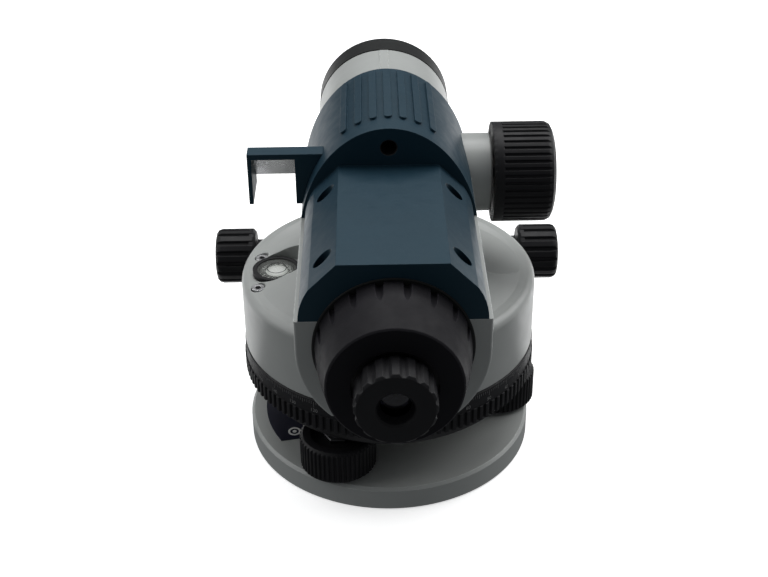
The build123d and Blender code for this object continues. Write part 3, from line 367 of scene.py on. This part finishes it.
def add_circle_scale():
    low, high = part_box("horizontal_circle")
    radius = (high[0] - low[0]) / 2 - 0.4 * MM
    top = high[2] - 0.9 * MM

    def ticks(shape):
        for degree in range(360):
            length = TICK_LONG if degree % 10 == 0 else TICK_MIDDLE if degree % 5 == 0 else TICK_SHORT
            angle = math.radians(degree)
            place = Vector((radius * math.cos(angle), radius * math.sin(angle), top - length / 2))
            turn = Matrix.Translation(place) @ Matrix.Rotation(angle, 4, "Z")
            block(shape, turn, (TICK_THICKNESS, TICK_WIDTH, length))
    piece("circle_graduations", ticks, FAINT_MARKING, "circle", smooth=False)

    def numbers(shape):
        for degree in range(0, 360, 10):
            text = bpy.data.curves.new("number", "FONT")
            text.body = str((360 - degree) % 360)
            text.size = NUMBER_SIZE
            text.align_x = "CENTER"
            text.extrude = 0.03 * MM
            holder = bpy.data.objects.new("number", text)
            mesh = bpy.data.meshes.new_from_object(holder)
            start = len(shape.verts)
            shape.from_mesh(mesh)
            shape.verts.ensure_lookup_table()
            for vertex in shape.verts[start:]:
                x, y, z = vertex.co
                angle = math.radians(degree) + x / radius
                reach = radius + 0.02 * MM + z
                vertex.co = (reach * math.cos(angle), reach * math.sin(angle), top - NUMBER_DROP + y)
            bpy.data.objects.remove(holder)
            bpy.data.meshes.remove(mesh)
            bpy.data.curves.remove(text)
    piece("circle_numbers", numbers, FAINT_MARKING, "circle", smooth=False)


# ---- foot screws --------------------------------------------------------------------
# height above the nut's seat and radius to a corner, in mm
NUT_PROFILE = ((0, 5.2), (1.3, 5.2), (1.7, 4.7), (1.7, 3.1), (0, 3.1))
NUT_SEAT_DEPTH = 2.0 * MM


def add_foot_screw_details():
    for number in (1, 2, 3):
        low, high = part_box("foot_screw_spindle_%d" % number)
        centre = box_centre(low, high)
        knob_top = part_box("foot_screw_knob_%d" % number)[1][2]
        body = "foot_screw_%d" % number
        seat = knob_top - NUT_SEAT_DEPTH

        def nut(shape):
            rings = []
            for z, r in NUT_PROFILE:
                rings.append([shape.verts.new((centre[0] + r * MM * math.cos(math.pi * i / 3),
                                               centre[1] + r * MM * math.sin(math.pi * i / 3),
                                               seat + z * MM)) for i in range(6)])
            for ring, after in zip(rings, rings[1:] + rings[:1]):
                for i in range(6):
                    j = (i + 1) % 6
                    shape.faces.new((ring[i], ring[j], after[j], after[i]))
        piece("foot_screw_nut_%d" % number, nut, DARK_STEEL, body, smooth=False)
        piece("foot_screw_thread_%d" % number,
              helix(2.98 * MM, 0.3 * MM, seat + 2.4 * MM, high[2] - 0.8 * MM, 0.75 * MM, centre),
              MATERIALS["steel"], body)


# ---- base plate ---------------------------------------------------------------------
TRIPOD_THREAD_RADIUS, TRIPOD_THREAD_DEPTH = 6.92 * MM, 0.45 * MM
TRIPOD_THREAD_PITCH = 25.4 / 11 * MM
TRIPOD_THREAD_INSET = 1.4 * MM
EMBLEM_REACH, EMBLEM_ANGLE = 41.5 * MM, math.radians(208.0)


def flat_ring(inner, outer, low, high):
    """Profile of a flat ring; radii and heights in mm."""
    return [(low * MM, inner * MM), (high * MM, inner * MM), (high * MM, outer * MM), (low * MM, outer * MM)]


def add_base_details():
    plate_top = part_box("base_plate")[1][2]
    piece("tripod_thread", helix(TRIPOD_THREAD_RADIUS, -TRIPOD_THREAD_DEPTH, TRIPOD_THREAD_INSET,
                                 plate_top - TRIPOD_THREAD_INSET, TRIPOD_THREAD_PITCH, (0, 0)),
          MATERIALS["grey_paint"], "base")
    emblem = Vector((EMBLEM_REACH * math.cos(EMBLEM_ANGLE), EMBLEM_REACH * math.sin(EMBLEM_ANGLE),
                     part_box("base_label")[1][2]))
    piece("label_ring_mark", lathe(flat_ring(1.7, 2.5, -0.05, 0.05), emblem, (0, 0, 1), 48), MARKING,
          "base")
    piece("label_dot_mark", lathe(flat_ring(0.05, 0.8, -0.05, 0.05), emblem, (0, 0, 1), 32), MARKING,
          "base")


# ---- circular level -----------------------------------------------------------------
LEVEL_SCREW_REACH = 12.4 * MM


def add_level_details():
    low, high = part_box("level_vial")
    centre = box_centre(low, high)
    centre.z = high[2]
    # rings on the vial: the bubble's mark, and the dark rim just below it
    for name, ring, material in (
            ("level_ring_mark", flat_ring(3.35, 3.65, -0.03, 0.02), MATERIALS["black_plastic"]),
            ("level_rim_mark", flat_ring(6.2, 6.4, -0.27, -0.22), MATERIALS["dark_ring"])):
        piece(name, lathe(ring, centre, (0, 0, 1), 64), material, "alidade")
    # black rings painted as the shadow in the gaps round the level's screws, and black discs painted as the
    # shade in their hex sockets
    screw_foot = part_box("level_screws")[0][2]
    for number in range(3):
        angle = 2 * math.pi * number / 3
        place = Vector((centre.x + LEVEL_SCREW_REACH * math.cos(angle),
                        centre.y + LEVEL_SCREW_REACH * math.sin(angle), screw_foot))
        piece("level_screw_shadow_ring_%d" % (number + 1),
              lathe(flat_ring(2.33, 2.68, 0, 0.25), place, (0, 0, 1), 48),
              MATERIALS["black_plastic"], "alidade")
        piece("level_screw_socket_shade_%d" % (number + 1),
              lathe(flat_ring(0.02, 0.95, 0.42, 0.5), place, (0, 0, 1), 32),
              MATERIALS["black_plastic"], "alidade")


# ---- telescope ----------------------------------------------------------------------
GLARE_STEPS, GLARE_DEPTH = 6, 3.0 * MM
GLARE_STEP_LENGTH, GLARE_STEP_WIDENING = 0.45 * MM, 0.29 * MM
FLANGE_INNER, FLANGE_OUTER = 21.5 * MM, 24.2 * MM
PEEP_Z, PEEP_REAR, PEEP_FRONT = 137.4 * MM, -36.9 * MM, 13.0 * MM
PEEP_INNER, PEEP_OUTER, PEEP_PINHOLE = 2.65 * MM, 2.88 * MM, 0.4 * MM
COLLAR_INNER, COLLAR_LENGTH = 16.9 * MM, 3.5 * MM
DISC_RADIUS, DISC_RIM = 14.2 * MM, 12.4 * MM
HAIR_LENGTH, HAIR_WIDTH, HAIR_DEPTH = 12.0 * MM, 0.05 * MM, 0.02 * MM
STADIA_LENGTH, STADIA_OFFSET = 3.0 * MM, 2.2 * MM


def add_glare_steps(axis_z):
    """Stepped black throat inside the objective ring."""
    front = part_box("objective_ring")[1][1]
    profile = [(front - GLARE_DEPTH, 20.6 * MM)]
    for step in range(GLARE_STEPS):
        y = front - GLARE_DEPTH + step * GLARE_STEP_LENGTH
        r = 20.0 * MM + step * GLARE_STEP_WIDENING - 0.05 * MM
        profile += [(y, r), (y + 0.40 * MM, r)]
    profile += [(front - 0.3 * MM, 22.6 * MM)]
    piece("objective_glare_steps", lathe(profile, (0, 0, axis_z), (0, 1, 0)), MATERIALS["black_paint"],
          "alidade")


def add_reticle_flange(axis_z):
    """Flange line between the reticle cover and the casting."""
    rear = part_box("body_casting")[0][1]
    flange = [(rear - 0.35 * MM, FLANGE_INNER), (rear - 0.35 * MM, FLANGE_OUTER - 0.3 * MM),
              (rear - 0.1 * MM, FLANGE_OUTER), (rear, FLANGE_OUTER), (rear, FLANGE_INNER)]
    piece("reticle_cover_flange", lathe(flange, (0, 0, axis_z), (0, 1, 0)), MATERIALS["dark_ring"],
          "alidade")


def add_peep_shade_lining():
    """Black lining put in the peep sight as painted shade for the dark inside of the hole, closed to a
    pinhole at its front end.
    """
    lining = [(PEEP_REAR, PEEP_INNER), (PEEP_REAR, PEEP_OUTER), (PEEP_FRONT, PEEP_OUTER),
              (PEEP_FRONT, PEEP_PINHOLE), (PEEP_FRONT - 1.0 * MM, PEEP_PINHOLE),
              (PEEP_FRONT - 1.0 * MM, PEEP_INNER)]
    piece("peep_sight_shade_lining", lathe(lining, (0, 0, PEEP_Z), (0, 1, 0)), MATERIALS["black_paint"],
          "alidade")


def add_focus_knob_details():
    """Smooth collar at the inner end of the focusing knob, and the disc at its outer end."""
    low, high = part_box("focus_knob")
    centre = box_centre(low, high)
    centre.x = 0
    inner_face, outer_face = low[0], high[0]
    edge = (high[2] - low[2]) / 2 - 0.03 * MM
    collar = [(inner_face + 0.02 * MM, COLLAR_INNER), (inner_face + 0.02 * MM, edge - 0.1 * MM),
              (inner_face + 0.15 * MM, edge), (inner_face + COLLAR_LENGTH - 0.3 * MM, edge),
              (inner_face + COLLAR_LENGTH, edge - 0.25 * MM), (inner_face + COLLAR_LENGTH, COLLAR_INNER)]
    piece("focus_knob_collar", lathe(collar, centre, (1, 0, 0)), MATERIALS["black_plastic"], "focus_drive")
    disc = [(outer_face - 0.2 * MM, 0.01 * MM), (outer_face - 0.2 * MM, DISC_RADIUS),
            (outer_face + 0.25 * MM, DISC_RADIUS), (outer_face + 0.45 * MM, DISC_RADIUS - 0.3 * MM),
            (outer_face + 0.45 * MM, DISC_RIM), (outer_face + 0.15 * MM, DISC_RIM - 0.3 * MM),
            (outer_face + 0.15 * MM, 0.01 * MM)]
    piece("focus_knob_disc", lathe(disc, centre, (1, 0, 0)), MATERIALS["black_plastic"], "focus_drive")


def add_reticle_hairs(axis_z):
    """Cross hair with stadia lines, on the reticle glass."""
    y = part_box("reticle_glass")[0][1] - HAIR_DEPTH

    def hairs(shape):
        for z, length in ((0, HAIR_LENGTH), (STADIA_OFFSET, STADIA_LENGTH), (-STADIA_OFFSET, STADIA_LENGTH)):
            block(shape, Matrix.Translation((0, y, axis_z + z)), (length, HAIR_DEPTH, HAIR_WIDTH))
        block(shape, Matrix.Translation((0, y, axis_z)), (HAIR_WIDTH, HAIR_DEPTH, HAIR_LENGTH))
    piece("reticle_hairs", hairs, MATERIALS["black_paint"], "alidade", smooth=False)


def add_telescope_details():
    low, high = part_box("objective_ring")
    axis_z = (low[2] + high[2]) / 2
    add_glare_steps(axis_z)
    add_reticle_flange(axis_z)
    add_peep_shade_lining()
    add_focus_knob_details()
    add_reticle_hairs(axis_z)


# ---- floor --------------------------------------------------------------------------
def add_sheet(name, low, high, height, glow):
    """Flat pale sheet of the studio; glow is its own light, which keeps it near white."""
    mesh = bpy.data.meshes.new(name)
    mesh.from_pydata([(low[0], low[1], height), (high[0], low[1], height), (high[0], high[1], height),
                      (low[0], high[1], height)], [], [(0, 1, 2, 3)])
    sheet = bpy.data.objects.new(name, mesh)
    bpy.context.scene.collection.objects.link(sheet)
    material, tree, shader = new_material(name)
    shader.inputs["Roughness"].default_value = 0.8
    shader.inputs["Emission Color"].default_value = (1.0, 1.0, 1.0, 1.0)
    shader.inputs["Emission Strength"].default_value = glow
    tint = mix_color(tree, noise(tree, 3.0), (0.93, 0.93, 0.93), (0.95, 0.95, 0.95))
    tree.links.new(tint, shader.inputs["Base Color"])
    mesh.materials.append(material)
    sheet.visible_diffuse = False
    return sheet


def add_floor():
    floor = add_sheet("floor", (-FLOOR_REACH, -FLOOR_REACH), (FLOOR_REACH, FLOOR_REACH), 0.0, FLOOR_GLOW)
    floor.visible_glossy = False
    # card behind the instrument, seen only as a sheen on its sides
    card = add_sheet("sheen_card", *SHEEN_CARD_CORNERS, SHEEN_CARD_HEIGHT, SHEEN_CARD_GLOW)
    card.visible_camera = False
    card.visible_shadow = False


add_camera()
add_studio()
add_floor()
paint_cad_nodes()
add_circle_scale()
add_foot_screw_details()
add_base_details()
add_level_details()
add_telescope_details()
